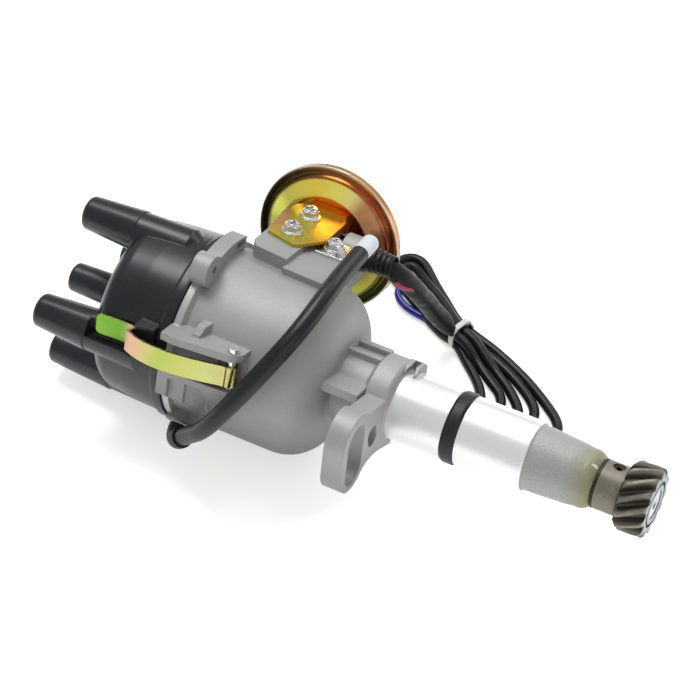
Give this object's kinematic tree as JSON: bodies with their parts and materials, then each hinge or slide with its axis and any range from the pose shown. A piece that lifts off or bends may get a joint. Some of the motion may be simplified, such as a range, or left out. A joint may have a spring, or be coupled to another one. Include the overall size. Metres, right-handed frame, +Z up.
{
  "type": "ignition distributor",
  "caption": "Ignition distributor with slotted clamp lug, sealed shank, helical drive gear, cap with lead towers, spring clips, vacuum advance can, breather hose and tied pickup lead.",
  "frame": {"origin": "on the shaft axis at the seating face of the clamp flange", "axes": "+X along the shaft from the cap to the drive gear, +Z up as the part lies on its side with the can behind"},
  "size_m": [0.2728, 0.1674, 0.091],
  "materials": {
    "casting": "fine sand-blasted die casting, machined shank",
    "bronze": "sintered bronze",
    "black_rubber": "moulded nitrile rubber",
    "hose_rubber": "smooth extruded rubber with a soft gloss",
    "steel_shaft": "ground steel",
    "steel_bright": "bright plated steel",
    "steel_dark": "oiled dark steel",
    "gear_steel": "oiled hobbed steel",
    "rotor_plastic": "moulded thermoset",
    "brass": "bright brass",
    "zinc_screw": "bright nickel plate",
    "chromate_plate": "yellow iridescent chromate plate",
    "chromate_clip": "yellow-green iridescent chromate plate",
    "cap_plastic": "semi-gloss moulded thermoset",
    "carbon": "pressed carbon",
    "fitting_metal": "pale moulded end fitting",
    "lead_vinyl": "glossy vinyl wire covering",
    "tie_nylon": "natural nylon",
    "connector_plastic": "moulded nylon"
  },
  "bodies": {
    "housing": {"housing": "casting", "upper_bushing": "bronze", "lower_bushing": "bronze", "oil_seal": "black_rubber", "o_ring": "black_rubber", "base_plate": "steel_bright", "base_plate_screws": "zinc_screw", "dust_cover": "rotor_plastic", "diaphragm": "black_rubber", "return_spring": "steel_bright", "vacuum_front_shell": "chromate_plate", "vacuum_back_shell": "chromate_plate", "vacuum_nipple": "chromate_plate", "vacuum_bracket": "chromate_plate", "bracket_screws": "zinc_screw", "bracket_washers": "zinc_screw", "clamp_screw": "zinc_screw", "clamp_washer": "zinc_screw", "clamp_plate": "zinc_screw", "cap_gasket": "black_rubber", "cap": "cap_plastic", "side_electrodes": "brass", "centre_electrode": "brass", "tower_terminals": "brass", "brush_spring": "steel_bright", "clip_pin_front": "zinc_screw", "clip_pin_rear": "zinc_screw", "breather_nipple": "steel_bright", "breather_elbow": "black_rubber", "breather_hose": "hose_rubber", "hose_fitting": "fitting_metal", "harness_grommet": "black_rubber", "harness_sleeve": "hose_rubber", "harness_hank": "lead_vinyl", "harness_tie": "tie_nylon", "harness_connector": "connector_plastic", "harness_tail": "lead_vinyl"},
    "drive_shaft": {"drive_shaft": "steel_shaft", "thrust_washer": "steel_bright", "drive_gear": "gear_steel", "roll_pin": "steel_dark", "governor_plate": "steel_bright", "governor_springs": "steel_bright"},
    "advance_sleeve": {"rotor_sleeve": "steel_shaft", "reluctor": "steel_dark", "rotor_arm": "rotor_plastic", "rotor_blade": "brass", "rotor_screw": "steel_bright"},
    "governor_weight_a": {"governor_weight_a": "steel_bright"},
    "governor_weight_b": {"governor_weight_b": "steel_bright"},
    "pickup_plate": {"pickup_plate": "steel_bright", "pickup_pin": "steel_bright", "pickup_module": "cap_plastic", "module_screws": "zinc_screw"},
    "vacuum_rod": {"vacuum_rod": "steel_bright", "diaphragm_cups": "steel_bright"},
    "carbon_brush": {"carbon_brush": "carbon"},
    "clip_front": {"clip_front": "chromate_clip"},
    "clip_rear": {"clip_rear": "chromate_clip"}
  },
  "joints": [
    {"name": "shaft_spin", "type": "hinge", "parent": "housing", "child": "drive_shaft", "pos_m": [0, 0, 0], "axis": [1, 0, 0], "continuous": true},
    {"name": "advance_turn", "type": "hinge", "parent": "drive_shaft", "child": "advance_sleeve", "pos_m": [0, 0, 0], "axis": [1, 0, 0], "range_deg": [0, 12], "stiffness_Nm_per_rad": 0.25, "deforming": ["governor_springs"]},
    {"name": "weight_a_swing", "type": "hinge", "parent": "drive_shaft", "child": "governor_weight_a", "pos_m": [-0.0444, 0.01501, -0.01472], "axis": [1, 0, 0], "range_deg": [-15, 0]},
    {"name": "weight_b_swing", "type": "hinge", "parent": "drive_shaft", "child": "governor_weight_b", "pos_m": [-0.0444, -0.01501, 0.01472], "axis": [1, 0, 0], "range_deg": [-15, 0]},
    {"name": "pickup_turn", "type": "hinge", "parent": "housing", "child": "pickup_plate", "pos_m": [-0.0626, 0, 0], "axis": [1, 0, 0], "range_deg": [-10, 0]},
    {"name": "vacuum_pull", "type": "slide", "parent": "housing", "child": "vacuum_rod", "axis": [0, 0.9449, -0.3272], "range_m": [0, 0.0052], "stiffness_N_per_m": 1500, "springref_m": -0.003, "deforming": ["diaphragm", "return_spring"]},
    {"name": "brush_press", "type": "slide", "parent": "housing", "child": "carbon_brush", "axis": [-1, 0, 0], "range_m": [0, 0.0015], "stiffness_N_per_m": 150, "springref_m": -0.003, "deforming": ["brush_spring"]},
    {"name": "clip_front_swing", "type": "hinge", "parent": "housing", "child": "clip_front", "pos_m": [-0.06, -0.03386, 0.02019], "axis": [0, 0.3272, 0.9449], "range_deg": [0, 80]},
    {"name": "clip_rear_swing", "type": "hinge", "parent": "housing", "child": "clip_rear", "pos_m": [-0.06, 0.03255, -0.02397], "axis": [0, 0.3272, 0.9449], "range_deg": [-80, 0]}
  ],
  "couplings": [
    {"joint": "weight_a_swing", "follows": "advance_turn", "ratio": -1.2},
    {"joint": "weight_b_swing", "follows": "advance_turn", "ratio": -1.2},
    {"joint": "pickup_turn", "follows": "vacuum_pull", "rad_per_m": -33.56}
  ]
}
